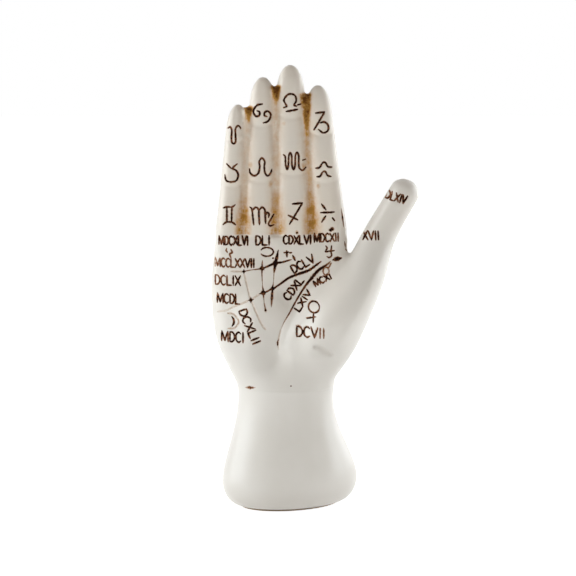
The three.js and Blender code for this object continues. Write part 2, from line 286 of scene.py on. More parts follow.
def web_shell(left, right, drop):
    dome_start = min(finger_length(left), finger_length(right)) - drop - WEB_DOME

    def at(distance):
        centre, _, _ = finger_at(left, distance)
        x = web_x(left, right, distance)
        return station(x, centre[1], centre[2], WEB_WIDTH, WEB_DEPTH, FINGER_SQUARENESS)

    places = (-ROOT_BURY, 0, dome_start / 2, dome_start)
    return loft([at(place) for place in places], sides=WEB_SIDES, end_dome=WEB_DOME)


def in_scene(name, data):
    obj = bpy.data.objects.new(name, data)
    bpy.context.scene.collection.objects.link(obj)
    return obj


def object_of(name, points, faces):
    mesh = bpy.data.meshes.new(name)
    mesh.from_pydata(np.asarray(points).tolist(), [], faces)
    return in_scene(name, mesh)


def one_skin(shells, voxel):
    """One even skin round all the shells, with nothing inside it."""
    points, faces, start = [], [], 0
    for shell_points, shell_faces in shells:
        points.append(shell_points)
        faces.extend(tuple(start + i for i in face) for face in shell_faces)
        start += len(shell_points)
    obj = object_of("shells", np.vstack(points), faces)
    remesh = obj.modifiers.new("even", "REMESH")
    remesh.mode = "VOXEL"
    remesh.voxel_size = voxel
    even = obj.evaluated_get(bpy.context.evaluated_depsgraph_get()).data
    made = np.zeros(len(even.vertices) * 3)
    even.vertices.foreach_get("co", made)
    made_faces = [tuple(face.vertices) for face in even.polygons]
    mesh = obj.data
    bpy.data.objects.remove(obj)
    bpy.data.meshes.remove(mesh)
    return made.reshape(-1, 3), made_faces


def edges_of(faces):
    pairs = {(min(a, b), max(a, b)) for face in faces for a, b in zip(face, face[1:] + face[:1])}
    return np.array(sorted(pairs))


def outward_of(points, quads):
    """Unit normals of the points of a skin of quads."""
    across = np.cross(points[quads[:, 2]] - points[quads[:, 0]], points[quads[:, 3]] - points[quads[:, 1]])
    total = np.zeros_like(points)
    for corner in quads.T:
        for axis in range(3):
            total[:, axis] += np.bincount(corner, across[:, axis], len(points))
    return total / np.maximum(np.linalg.norm(total, axis=1), 1e-9)[:, None]


def both_ways(edges):
    return np.concatenate([edges, edges[:, ::-1]])


def to_neighbours(points, ends):
    """The way from each point to the middle of its neighbours."""
    count = np.bincount(ends[:, 0], minlength=len(points))[:, None]
    sums = [np.bincount(ends[:, 0], points[ends[:, 1], axis], len(points)) for axis in range(3)]
    return np.stack(sums, 1) / count - points


def filled(points, faces, passes, weight):
    """Hollow edges filled up, as clay is smoothed where two forms meet; what bulges stays."""
    points = points.copy()
    quads = np.array([face if len(face) == 4 else (*face, face[-1]) for face in faces])
    ends = both_ways(edges_of(faces))
    for _ in range(passes):
        outward = outward_of(points, quads)
        rise = np.maximum((to_neighbours(points, ends) * outward).sum(1), 0)
        points += (FILL_SHARE * weight * rise)[:, None] * outward
    return points


def smoothed(points, edges, passes, weight=1.0):
    """Points drawn towards their neighbours and let out again, so that the size stays."""
    points = points.copy()
    ends = both_ways(edges)
    weight = np.broadcast_to(weight, len(points))[:, None]
    for share in SMOOTH_SHARES * passes:
        points += share * weight * to_neighbours(points, ends)
    return points


# Engraved marks, drawn in a cell from -50 to 50 that is stretched over the place of each one
CELL = 100
CURVE_STEPS, ARC_POINTS = 8, 25


def curve(*points):
    spans = len(points) - 1
    return spline(points, np.linspace(0, spans, CURVE_STEPS * spans + 1))


def line(*points):
    return np.array(points, float)


def arc(x, y, radius, start, end, squash=1.0):
    angles = np.radians(np.linspace(start, end, ARC_POINTS))
    return np.stack([x + radius * np.cos(angles), y + radius * squash * np.sin(angles)], 1)


SIGNS = {
    "aries": [
        curve((-50, 36), (-32, 42), (-20, 25), (-22, -10), (-22, -38), (-6, -50),
              (10, -38), (10, 0), (8, 28), (22, 48), (38, 48), (50, 34)),
    ],
    "taurus": [
        line((-36, 50), (-2, 26)),
        line((42, 50), (2, 26)),
        curve((0, 26), (34, 14), (50, -12), (36, -42), (-5, -50), (-40, -42), (-50, -12)),
    ],
    "gemini": [
        curve((-50, 34), (-20, 40), (20, 40), (46, 50)),
        curve((-50, -48), (-24, -36), (20, -36), (50, -50)),
        line((-20, 38), (-20, -36)),
        line((20, 40), (18, -36)),
    ],
    "cancer": [
        curve((2, 50), (-30, 42), (-50, 12), (-36, -14), (-16, -10), (-14, 8), (-28, 14)),
        curve((8, -50), (36, -40), (50, -8), (34, 12), (16, 6), (14, -10), (28, -16)),
    ],
    "leo": [
        curve((-50, -12), (-46, -36), (-28, -50), (-10, -34), (-4, 0), (-6, 30),
              (6, 50), (18, 30), (16, 0), (20, -34), (32, -50), (44, -36), (50, -14)),
    ],
    "virgo": [
        curve((-50, 46), (-42, 36), (-38, 0), (-34, -44)),
        curve((-40, 28), (-26, 46), (-14, 34), (-12, 0), (-10, -42)),
        curve((-14, 28), (0, 46), (12, 34), (14, 0), (16, -36)),
        curve((14, 2), (22, 20), (30, 10), (28, -6)),
        curve((50, 8), (36, -20), (28, -40), (36, -50), (50, -46)),
    ],
    "libra": [
        curve((-44, -28), (-28, -20), (-34, -6), (-42, 16), (-24, 44), (0, 50),
              (20, 38), (24, 10), (14, -12), (26, -20)),
        line((32, -12), (50, -8)),
        line((-30, -50), (32, -38)),
    ],
    "scorpio": [
        curve((-50, 36), (-42, 26), (-40, -20), (-34, -44), (-28, -20), (-26, 30), (-20, 48),
              (-13, 30), (-12, -20), (-5, -44), (2, -20), (3, 30), (10, 50), (18, 30),
              (18, -10), (22, -38), (36, -50), (50, -34)),
        line((36, 6), (48, 10)),
    ],
    "sagittarius": [line((-22, 42), (50, 46)), line((50, 46), (-42, -50)), line((-50, -10), (16, -30))],
    "capricorn": [
        line((-40, 44), (24, 50)),
        line((24, 50), (-50, -36)),
        curve((-8, -2), (22, 2), (48, -14), (46, -40), (14, -50), (-18, -34)),
    ],
    "aquarius": [
        curve((-50, 10), (-26, 16), (-8, 46), (10, 48), (26, 22), (50, 18)),
        curve((-42, -46), (-22, -42), (-6, -14), (10, -12), (24, -36), (46, -44)),
    ],
    "pisces": [
        line((-44, 50), (-12, 18)),
        line((-50, 2), (46, 6)),
        line((-14, -16), (-42, -50)),
        line((34, -26), (50, -42)),
    ],
    "mercury": [curve((-40, 50), (-50, 30), (-30, 10)), curve((30, 40), (50, 10), (10, -10), (30, -50))],
    "sun": [arc(0, 0, 50, -150, 150)],
    "saturn": [line((-50, 20), (10, 30)), line((-16, 50), (-12, -50)), line((26, 16), (50, 20))],
    "jupiter": [
        curve((-44, 50), (-30, 30), (-50, 2)),
        line((-50, 0), (50, 8)),
        curve((20, 50), (14, 0), (20, -34), (-6, -50), (-30, -42)),
    ],
    "mars": [arc(-14, -20, 34, 0, 360), line((12, 4), (46, 48)), line((16, 44), (46, 48))],
    "venus": [arc(11, 23, 43, 0, 360, squash=0.64), line((8, -6), (4, -50)), line((-44, -34), (24, -22))],
    "moon": [curve((-46, 50), (10, 44), (50, 0), (16, -42), (-40, -50))],
    "moon_edge": [curve((-10, 30), (6, 12), (8, -10), (-6, -32))],
}
# Numerals stand where the photograph has words: how wide each letter is, and its strokes in a cell
NUMERALS = {
    "I": (40, [line((0, 50), (0, -50))]),
    "V": (85, [line((-38, 50), (0, -50)), line((38, 50), (0, -50))]),
    "X": (85, [line((-36, 50), (36, -50)), line((36, 50), (-36, -50))]),
    "L": (75, [line((-28, 50), (-28, -50), (32, -50))]),
    "C": (80, [curve((30, 36), (2, 50), (-26, 32), (-34, 0), (-26, -32), (2, -50), (30, -36))]),
    "D": (85, [line((-30, 50), (-30, -50)), curve((-30, 50), (10, 42), (34, 0), (10, -42), (-30, -50))]),
    "M": (
        110,
        [line((-44, -50), (-40, 50)), line((-40, 50), (0, -40), (40, 50)), line((40, 50), (44, -50))],
    ),
}
# Width and depth of the strokes, and ink, which is how much of the dark wash they hold
SIGN_STROKE = dict(width=1.15, depth=0.45)
NUMERAL_STROKE = dict(width=1.1, depth=0.35)
FINE_STROKE = dict(width=0.95, depth=0.4)
FAINT_STROKE = dict(width=1.2, depth=0.25)
FAINT_INK = 0.22
DOT_STROKE = dict(depth=0.5, ink=1.0)
CREASE_STROKE = dict(width=5.0, depth=0.5, ink=0.0, hand=0.0)
DIMPLE_STROKE = dict(width=(2.0, 5.0, 8.0, 7.0, 4.0), depth=2.0, ink=0.0, taper=0.0, hand=0.0)
NAIL_STROKE = dict(width=1.1, depth=0.3, ink=0.0)
# A stroke thins out over a length at its ends, and wavers in waves along X and Z
TAPER, TAPER_LENGTH = 0.35, 1.4
WAVES = ((1.9, 1.3), (0.8, -1.1))
WIDTH_WAVER, INK_WAVER = 0.2, 0.35
SPACING = 0.2

# Signs: centre (X, Z) and size on the front of the hand, and ink
SIGN_PLACES = [
    ("aries", (-35.7, 243.7), (8.3, 11.7), 0.82),
    ("taurus", (-37.5, 218.9), (8.6, 11.7), 0.86),
    ("gemini", (-38.8, 191.7), (8.0, 13.0), 0.84),
    ("cancer", (-17.9, 257.6), (11.2, 12.3), 0.95),
    ("leo", (-18.8, 222.8), (14.4, 11.7), 0.88),
    ("virgo", (-18.0, 190.8), (15.3, 12.7), 0.9),
    ("libra", (1.1, 264.6), (11.8, 11.4), 0.95),
    ("scorpio", (3.0, 226.4), (14.4, 11.8), 0.84),
    ("sagittarius", (3.5, 192.9), (9.0, 14.3), 1.0),
    ("capricorn", (20.0, 251.8), (9.2, 13.6), 0.92),
    ("aquarius", (21.6, 220.9), (10.3, 9.9), 0.95),
    ("pisces", (24.1, 192.9), (8.9, 11.7), 1.0),
    ("moon_edge", (-36.5, 122.9), (7.5, 9.8), 1.0),
]
FINE_PLACES = [
    ("sun", (-14.8, 167.7), (8.3, 5.7), 0.85),
    ("jupiter", (25.5, 167.7), (5.8, 7.6), 0.85),
    ("venus", (14.3, 129.8), (8.0, 12.6), 0.85),
]
FAINT_PLACES = [
    ("saturn", (-1.4, 166.5), (4.6, 3.6), 0.9),
    ("mercury", (-39.0, 166.6), (3.9, 6.0), 0.6),
    ("mars", (23.9, 156.6), (5.6, 7.6), 0.45),
    ("moon", (-36.5, 122.9), (7.5, 9.8), 0.3),
]
# Numerals: centre, size along and across the writing, its turn in degrees, and its ink at either end
NUMERAL_PLACES = [
    ("MDCXLVI", (-36.2, 174.9), (19.6, 5.8), 0, (0.8, 1.0)),
    ("DLI", (-17.4, 175.1), (10.0, 5.9), 0, (1.0, 1.0)),
    ("CDXLVI", (4.8, 175.5), (18.4, 5.4), 0, (1.0, 0.95)),
    ("MDCXII", (23.4, 176.9), (16.4, 5.4), 2, (1.0, 0.75)),
    ("MCCLXXVII", (-35.5, 160.4), (26.2, 5.6), 0, (0.5, 1.0)),
    ("DCLIX", (-40.0, 148.9), (17.2, 6.2), 0, (0.6, 1.0)),
    ("MCDL", (-39.6, 137.1), (15.2, 6.0), 0, (0.8, 0.85)),
    ("MDCI", (-36.7, 112.9), (15.4, 6.4), 0, (0.9, 1.0)),
    ("DCXLII", (-25.7, 120.2), (24.0, 5.4), -66, (1.0, 0.95)),
    ("DCLV", (8.1, 159.9), (16.6, 5.3), 29, (1.0, 1.0)),
    ("CDXL", (2.2, 144.2), (16.4, 5.0), 52, (1.0, 1.0)),
    ("LXIV", (8.3, 136.4), (15.0, 4.0), 56, (1.0, 0.95)),
    ("MCXI", (20.7, 149.6), (12.4, 4.0), 27, (1.0, 0.85)),
    ("DCVII", (13.0, 117.2), (18.8, 6.4), 0, (1.0, 0.6)),
    ("DLXIV", (68.0, 203.4), (13.6, 5.4), -16, (0.6, 1.0)),
    ("XVII", (51.8, 178.5), (11.0, 5.5), 3, (0.8, 1.0)),
]
# Lines of the palm: points (X, Z), and the widths, the depth and the ink along them
PALM_LINES = [
    (
        curve((-29.5, 154.9), (-26.2, 155.7), (-17.9, 157.0), (-13.3, 158.8), (-9.3, 160.4), (-4.7, 161.1),
              (0.8, 162.7)),
        (0.7, 0.6, 0.9, 1.2, 1.3, 1.1, 0.9), 0.45, (0.7, 0.5, 0.8, 0.85, 1.0, 0.8, 0.75),
    ),
    (
        curve((-17.0, 141.7), (-10.8, 144.2), (-5.9, 147.3), (-0.4, 151.1), (5.7, 153.5), (12.4, 156.0),
              (19.8, 161.3)),
        (0.8, 1.0, 1.2, 1.4, 1.6, 1.5, 1.0), 0.5, (0.6, 0.8, 0.9, 1.0, 1.0, 1.0, 0.85),
    ),
    (
        curve((25.9, 161.3), (23.4, 159.1), (17.9, 155.4), (14.0, 150.8), (10.6, 146.7), (5.7, 139.3),
              (-0.4, 128.7), (-3.5, 123.7), (-5.9, 118.7)),
        (0.9, 1.5, 1.7, 1.4, 1.1, 1.0, 0.9, 0.7, 0.5), 0.5, (0.5, 1.0, 1.0, 1.0, 0.85, 0.8, 0.7, 0.45, 0.2),
    ),
    (line((27.2, 162.2), (30.4, 162.9), (32.8, 163.2)), (0.8, 3.0, 1.4), 0.5, (0.7, 1.0, 1.0)),
    (curve((-5.9, 118.7), (-7.2, 113.1), (-7.6, 108.2), (-7.2, 105.7)), 1.0, 0.4, (0.2, 0.3, 0.3, 0.1)),
    (line((-7.7, 111.8), (-8.0, 108.2)), (0.6, 1.2, 0.7), 0.4, 0.9),
    (line((1.8, 165.4), (3.2, 162.3)), 1.3, 0.4, 1.0),
    (line((-28.8, 79.8), (-22.0, 80.8)), (0.6, 1.4, 1.9, 1.4, 0.6), 0.2, (0.3, 0.55, 0.85, 0.55, 0.3)),
    # The last three rows are short dark strokes down the right flank of the index, by the thumb's crotch
    (line((32.9, 195.7), (33.7, 189.5), (34.5, 183.3)), (0.4, 0.9, 0.4), 0.15, (0.5, 0.9, 0.5)),
    (line((35.1, 173.9), (35.7, 169.6)), (0.4, 0.8, 0.4), 0.15, 0.7),
    (line((35.7, 168.9), (36.5, 167.4)), 0.8, 0.15, 0.8),
]
CROSS_LINES = [
    (
        curve((-7.5, 168.8), (-8.3, 164.7), (-9.3, 160.4), (-10.1, 154.8), (-10.5, 148.6), (-11.1, 144.2),
              (-11.5, 139.3), (-11.8, 133.0)),
        (0.7, 1.6, 1.9, 0.6, 0.5, 1.1, 1.4, 0.5), 0.45, (1.0, 1.0, 1.0, 0.5, 0.4, 0.9, 0.85, 0.4),
    ),
    (
        curve((-17.6, 162.3), (-17.9, 157.0), (-17.9, 152.9), (-17.5, 146.1), (-17.0, 141.7), (-16.4, 136.1),
              (-15.6, 131.2)),
        (0.6, 1.1, 0.7, 0.5, 1.1, 0.5, 1.0), 0.4, (0.5, 0.9, 0.45, 0.4, 0.9, 0.4, 0.8),
    ),
]
FAINT_LINES = [
    curve((-29.4, 153.5), (-26.2, 140.8), (-25.0, 137.3), (-23.7, 134.5), (-20.9, 128.1), (-17.9, 121.8),
          (-15.4, 118.7)),
    curve((-46.5, 128.1), (-41.0, 129.4), (-35.8, 132.2), (-30.5, 134.7), (-26.2, 137.0)),
    curve((-24.9, 137.1), (-20.6, 140.2), (-17.0, 141.7)),
    line((-37.8, 154.9), (-29.5, 154.9)),
]
# Stars where the lines cross: place, reach and width. Dots of the wash: place and width
STARS = [
    ((-17.9, 157.0), 2.8, 4.0), ((-9.3, 160.4), 3.6, 3.8), ((-17.0, 141.7), 2.8, 4.6),
    ((-11.1, 144.2), 2.4, 3.2), ((-25.0, 137.2), 1.8, 3.8), ((-29.5, 154.9), 1.4, 2.4),
]
STAR_POINT, STAR_ARM, STAR_TILT = 0.4, 1.0, 0.2
DOTS = [
    ((-15.6, 131.2), 1.3), ((-10.9, 163.6), 1.0), ((27.0, 182.6), 2.2), ((26.0, 181.9), 1.8),
    ((4.5, 180.0), 1.3), ((14.0, 150.8), 1.9), ((0.6, 82.6), 0.9),
]
# Creases of the fingers: reach as a share of the width, and how high the ends and the middle lie
CREASE_REACH, CREASE_ENDS, CREASE_MIDDLE = 0.36, 0.8, -0.4
# Nails: middle as a share of the dome, half width as a share of the finger's, and levels of the outline
NAIL_PLACE, NAIL_HALF = 0.62, 0.29
NAIL_TOP, NAIL_CORNER, NAIL_ROOT = 6.0, -2.0, -5.4
# Fold beside the thumb's mound, along the lower life line. The mound stands proud at its right, the palm
# dips at its left, and a lip lies on it: height of each form, distances from the fold over which it
# grows and fades, and the levels Z over which it grows
FOLD = curve((10.6, 146.7), (5.7, 139.3), (-0.4, 128.7), (-5.9, 118.7), (-8.2, 108.0), (-7.0, 92.0))
FOLD_FORMS = [
    (1.6, (1, 13), (13, 32), (90, 106)),
    (-3.4, (-22, -2), (-2, 9), (80, 102)),
    (1.2, (-0.4, 2.4), (3, 14), (98, 110)),
]
FOLD_END = (116, 148)
FOLD_SLANT = 0.88
# Full side of the thumb's mound, right of the life line: level Z, the X where the side starts there, how
# far right its crest lies, and how far it stands out
MOUND_SIDE = [
    (98.0, -4.0, 24.0, 0.0),
    (110.0, -4.5, 32.0, 3.6),
    (125.0, 1.0, 37.0, 7.2),
    (139.0, 8.5, 38.0, 7.6),
    (151.0, 17.0, 34.0, 6.2),
    (161.0, 26.0, 28.0, 3.8),
    (174.0, 38.0, 18.0, 0.0),
]
MOUND_STEPS = 60
MOUND_FOOT, MOUND_FALL = (-2.0, 4.0), 18.0
# Dimple at the foot of the thumb
DIMPLE = curve((15.5, 108.0), (20.0, 107.4), (26.0, 103.0))
# Warm haze of the wiped wash: strengths and the levels over which they grow, what is lost right of the
# fingers, and the turn to the front over which it shows
HAZE = [(0.4, (100, 150)), (0.6, (FINGER_LINE - 8, FINGER_LINE + 8))]
HAZE_LOSS, HAZE_RIGHT, HAZE_FACING = 0.7, (26, 44), (0.1, 0.7)
# Brown wash in the valleys between the fingers: length and strength of the dark crown at the top of each
# one, strength of the wash and of its core along the middle, what the foot adds, and half the width of
# a valley at the top and at the foot
VALLEYS = [
    (10.0, 1.6, 0.13, 0.1, 0.78, 3.0, 4.6),
    (12.0, 1.55, 0.18, 0.15, 0.5, 3.2, 5.2),
    (27.0, 1.7, 0.2, 0.34, 0.42, 3.6, 5.4),
]
# Distances along a valley over which its foot ends and the wash starts and stops, and a thin veil beside
VALLEY_FOOT, VALLEY_START, VALLEY_STOP = (4, 32), (-0.6, 0.3), (-0.5, 1.5)
VEIL = 0.14
# Soft edges, in shares of half the valley's width, but the first of the core in millimetres
WASH_EDGE, VEIL_EDGE, CORE_EDGE = (0.4, 1.4), (0.8, 2.5), (0.4, 0.75)
CROWN_EDGE, CROWN_WIDTHS, CROWN_POWER = 0.5, (0.35, 0.95), 0.7
VALLEY_FACING = (-0.5, 0.1)
# Spots of the wash: place, radius and strength
SPOTS = [
    ((17.9, 210.0), 1.6, 0.8), ((-12.2, 211.2), 2.4, 0.5), ((4.5, 180.4), 1.4, 0.9),
    ((-25.6, 224.0), 2.2, 0.5), ((9.3, 223.5), 2.6, 0.6), ((-3.8, 251.0), 1.6, 0.45),
]
SPOT_CORE, SPOT_STRETCH = 0.3, 0.8
# Engraving: distances from a stroke within which faces are split and smoothed, how far the skin is turned
# to a mark's side, and the edges of the grooves and the ink in shares of half a stroke's width
FRONT_SPLITS, NAIL_SPLIT, SMOOTH_REACH = (0.65, 0.2), 0.6, 2.2
SPLIT_FACING, MARK_FACING, RELIEF_FACING = 0.15, (0.12, 0.3), (0.05, 0.6)
GROOVE_EDGE, INK_EDGE = (0.35, 1.15), (0.55, 1.6)


def sign(name, centre, size):
    return [stroke / CELL * size + centre for stroke in SIGNS[name]]


def numeral(text, centre, size, turn):
    """Strokes of the letters side by side, turned about their middle."""
    widths = [NUMERALS[letter][0] / CELL for letter in text]
    scale = size[0] / sum(widths)
    c, s = math.cos(math.radians(turn)), math.sin(math.radians(turn))
    turned = np.array(((c, s), (-s, c)))
    strokes, start = [], -size[0] / 2
    for letter, width in zip(text, widths):
        middle = start + width * scale / 2
        for stroke in NUMERALS[letter][1]:
            strokes.append((stroke / CELL * (scale, size[1]) + (middle, 0)) @ turned + centre)
        start += width * scale
    return strokes


def along(values, share):
    """A value, or several values spread evenly, at shares of a length."""
    values = np.atleast_1d(values)
    return np.interp(share, np.linspace(0, 1, len(values)), values)


def drawn_in(points):
    """Places measured in the front view, drawn in because the front is nearer than the middle."""
    tilt = math.radians(CAMERA_ELEVATION)
    x, z = points[:, 0] - CAMERA_AIM[0], points[:, 1] - CAMERA_AIM[2]
    near = (FRONT_REACH * math.cos(tilt) + z * math.sin(tilt)) / CAMERA_DISTANCE
    seen = z - FRONT_REACH * math.tan(tilt)
    return points - np.stack([near * x, near * seen], 1)


def samples(strokes, width, depth, ink, taper=TAPER, hand=1.0):
    """Points along strokes: X, Z, half the stroke's width, its depth and its ink.

    A stroke thins out at its ends, and its width and ink waver as by hand.
    """
    rows = []
    for stroke in strokes:
        lengths = np.concatenate([[0], np.cumsum(np.linalg.norm(np.diff(stroke, axis=0), axis=1))])
        places = np.linspace(0, lengths[-1], max(int(lengths[-1] / SPACING), 1) + 1)
        x, z = (np.interp(places, lengths, stroke[:, axis]) for axis in range(2))
        share = np.linspace(0, 1, len(places))
        ends = np.clip(np.minimum(places, lengths[-1] - places) / TAPER_LENGTH, 0, 1)
        waver = hand * math.prod(np.sin(a * x + b * z) for a, b in WAVES)
        half = along(width, share) / 2 * (1 - taper * (1 - ends)) * (1 + WIDTH_WAVER * waver)
        held = along(ink, share) * (1 - INK_WAVER * np.maximum(waver, 0))
        rows.append(np.column_stack([x, z, half, np.full(len(x), depth), held]))
    return np.vstack(rows)


def on_front(marks):
    """Rows of several marks as one table, with their places on the front of the hand."""
    rows = np.vstack(marks)
    return np.column_stack([drawn_in(rows[:, :2]), rows[:, 2:]])


def letter_marks():
    """Signs and numerals of the front."""
    marks = []
    groups = ((SIGN_PLACES, SIGN_STROKE), (FINE_PLACES, FINE_STROKE), (FAINT_PLACES, FAINT_STROKE))
    for places, stroke in groups:
        for name, centre, size, ink in places:
            marks.append(samples(sign(name, centre, size), ink=ink, **stroke))
    for text, centre, size, turn, inks in NUMERAL_PLACES:
        strokes = numeral(text, centre, size, turn)
        held = along(inks, np.linspace(0, 1, len(strokes)))
        marks.extend(samples([stroke], ink=ink, **NUMERAL_STROKE) for stroke, ink in zip(strokes, held))
    return on_front(marks)


def line_marks():
    return on_front([samples([path], *stroke) for path, *stroke in PALM_LINES])


def cross_marks():
    marks = [samples([path], *stroke) for path, *stroke in CROSS_LINES]
    return on_front([*marks, samples(FAINT_LINES, ink=FAINT_INK, **FAINT_STROKE)])


def dot_marks():
    """Round dots, and stars with four points."""
    marks = [samples([line(place, place)], width, taper=0.0, **DOT_STROKE) for place, width in DOTS]
    for (x, z), reach, width in STARS:
        tilt = STAR_TILT * reach
        arms = [line((x - reach, z - tilt), (x + reach, z + tilt)), line((x, z - reach), (x, z + reach))]
        widths = (STAR_POINT, STAR_ARM, width, STAR_ARM, STAR_POINT)
        marks.append(samples(arms, widths, **DOT_STROKE))
    return on_front(marks)


def on_finger(finger, distance):
    """X and Z of a finger's middle, and its width, at a distance from the finger line."""
    centre, width, _ = finger_at(finger, distance)
    return centre[0] + WRIST_SHIFT, centre[2] + WRIST_LEVEL, width


def crease_marks():
    """Shallow creases across the front of each finger, where two phalanges meet."""
    strokes = []
    for finger in FINGERS:
        for distance in (finger["phalanges"][0], sum(finger["phalanges"][:2])):
            x, z, width = on_finger(finger, distance)
            reach, ends = width * CREASE_REACH, z + CREASE_ENDS
            strokes.append(curve((x - reach, ends), (x, z + CREASE_MIDDLE), (x + reach, ends)))
    return samples(strokes, **CREASE_STROKE)


def nail_marks():
    """Outlines of the nails on the back of the fingers."""
    strokes = []
    for finger in FINGERS:
        x, z, width = on_finger(finger, finger_length(finger) - FINGERTIP_DOME * NAIL_PLACE)
        left, right = x - width * NAIL_HALF, x + width * NAIL_HALF
        top, corner, root = z + NAIL_TOP, z + NAIL_CORNER, z + NAIL_ROOT
        strokes.append(curve((left, top), (left, corner), (x, root), (right, corner), (right, top)))
    return samples(strokes, **NAIL_STROKE)


class Marks:
    """Finds the nearest mark to a place on the hand, seen along Y."""

    def __init__(self, rows):
        self.rows = rows
        self.tree = kdtree.KDTree(len(rows))
        for i, row in enumerate(rows):
            self.tree.insert((row[0], 0, row[1]), i)
        self.tree.balance()

    def at(self, points):
        """Distance to the middle of the nearest stroke, its half width, depth and ink, for each point."""
        found = [self.tree.find((x, 0, z))[1:] for x, _, z in points]
        index = np.array([each[0] for each in found])
        distance = np.array([each[1] for each in found])
        return distance, *self.rows[index, 2:].T


def hand_body():
    """Palm, mound and thumb, blended as one soft form; the top edge stays crisp for the fingers."""
    shells = [in_place(shell()) for shell in (palm_shell, wrist_shell, mound_shell, thumb_shell)]
    points, faces = one_skin(shells, BODY_VOXEL)
    crisp = 1 - CRISPNESS * grow(*CRISP_LEVELS, points[:, 2])
    weight = np.maximum(crisp, grow(*THUMB_START, points[:, 0]))
    points = filled(points, faces, FILL_PASSES, weight)
    return smoothed(points, edges_of(faces), BODY_PASSES, weight), faces


def whole_hand():
    shells = [hand_body()]
    shells += [in_place(finger_shell(finger)) for finger in FINGERS]
    shells += [
        in_place(web_shell(left, right, drop)) for left, right, drop in zip(FINGERS, FINGERS[1:], WEB_DROPS)
    ]
    points, faces = one_skin(shells, SKIN_VOXEL)
    return smoothed(points, edges_of(faces), SKIN_PASSES), faces


def refined(bm, marks, side, reach):
    """Splits the faces on one side of the hand that lie within reach of a mark's edge."""
    bm.normal_update()
    faces = [face for face in bm.faces if face.normal.y * side > SPLIT_FACING]
    distance, half, *_ = marks.at([face.calc_center_median() for face in faces])
    near = [face for face, past in zip(faces, distance - half) if past < reach]
    edges = dict.fromkeys(edge for face in near for edge in face.edges)
    bmesh.ops.subdivide_edges(bm, edges=list(edges), cuts=1, use_grid_fill=True)


def positions(bm):
    bm.verts.ensure_lookup_table()
    bm.verts.index_update()
    return np.array([vert.co for vert in bm.verts])


def normals(bm):
    bm.normal_update()
    return np.array([vert.normal for vert in bm.verts])


def set_positions(bm, points):
    for vert, point in zip(bm.verts, points):
        vert.co = point


def engraved(points, faces):
    """The hand's skin with its marks cut in, and the ink, stain and haze that each point holds."""
    bm = bmesh.new()
    verts = [bm.verts.new(point) for point in points]
    for face in faces:
        bm.faces.new([verts[i] for i in face])
    groups = [letter_marks(), line_marks(), cross_marks(), dot_marks()]
    front = Marks(np.vstack(groups))
    creases, nails = Marks(crease_marks()), Marks(nail_marks())
    dimples = Marks(on_front([samples([DIMPLE], **DIMPLE_STROKE)]))
    for reach in FRONT_SPLITS:
        refined(bm, front, -1, reach)
    refined(bm, nails, 1, NAIL_SPLIT)

    points = positions(bm)
    pairs = np.array([[vert.index for vert in edge.verts] for edge in bm.edges])
    near = (front.at(points)[0] < SMOOTH_REACH) & (normals(bm)[:, 1] < 0)
    points = smoothed(points, pairs, STROKE_PASSES, near.astype(float))
    set_positions(bm, points)
    relief = (fold_relief(points) + mound_relief(points)) * grow(*RELIEF_FACING, -normals(bm)[:, 1])
    points = points - np.outer(relief, (0, 1, 0))
    seen = points - np.outer(relief * math.tan(math.radians(CAMERA_ELEVATION)), (0, 0, 1))
    set_positions(bm, points)
    outward = normals(bm)

    facing, backing = (grow(*MARK_FACING, side * outward[:, 1]) for side in (-1, 1))
    cut, held = np.zeros(len(points)), np.zeros(len(points))
    for rows in groups:
        distance, half, depth, ink = Marks(rows).at(seen)
        cut = np.maximum(cut, depth * fade(*np.outer(GROOVE_EDGE, half), distance) * facing)
        held = np.maximum(held, ink * fade(*np.outer(INK_EDGE, half), distance) * facing)
    for marks, side in ((creases, facing), (dimples, facing), (nails, backing)):
        distance, half, depth, _ = marks.at(seen)
        cut += depth * fade(0, half, distance) * side
    set_positions(bm, points - outward * cut[:, None])

    stain = np.maximum(valley_stain(points, outward), spot_stain(points, facing))
    for name, values in (("ink", held), ("stain", stain), ("haze", wash_haze(points, outward))):
        layer = bm.verts.layers.float.new(name)
        for vert, value in zip(bm.verts, values):
            vert[layer] = value
    return bm


def fold_relief(points):
    """How far the thumb's mound stands out from the palm beside its fold."""
    x, _, z = points.T
    across, level = drawn_in(FOLD)[::-1].T
    off = FOLD_SLANT * (x - np.interp(z, level, across))
    forms = [
        height * grow(*near, off) * fade(*far, off) * grow(*levels, z)
        for height, near, far, levels in FOLD_FORMS
    ]
    return sum(forms) * fade(*FOLD_END, z)


def mound_relief(points):
    """How far the thumb's mound swells right of the life line, steep at its foot and round at its crest."""
    x, _, z = points.T
    rows = spline(MOUND_SIDE, np.linspace(0, len(MOUND_SIDE) - 1, MOUND_STEPS))
    start, reach, rise = (np.interp(z, rows[:, 0], rows[:, i]) for i in (1, 2, 3))
    off = x - start
    share = np.clip(off / reach, 0, 1)
    return rise * grow(*MOUND_FOOT, off) * (1 - (1 - share) ** 2) * fade(reach, reach + MOUND_FALL, off)


def wash_haze(points, outward):
    """Warm haze of the wiped wash over the engraved front, most on the fingers."""
    x, _, z = points.T
    level = sum(strength * grow(*levels, z) for strength, levels in HAZE)
    return level * (1 - HAZE_LOSS * grow(*HAZE_RIGHT, x)) * grow(*HAZE_FACING, -outward[:, 1])


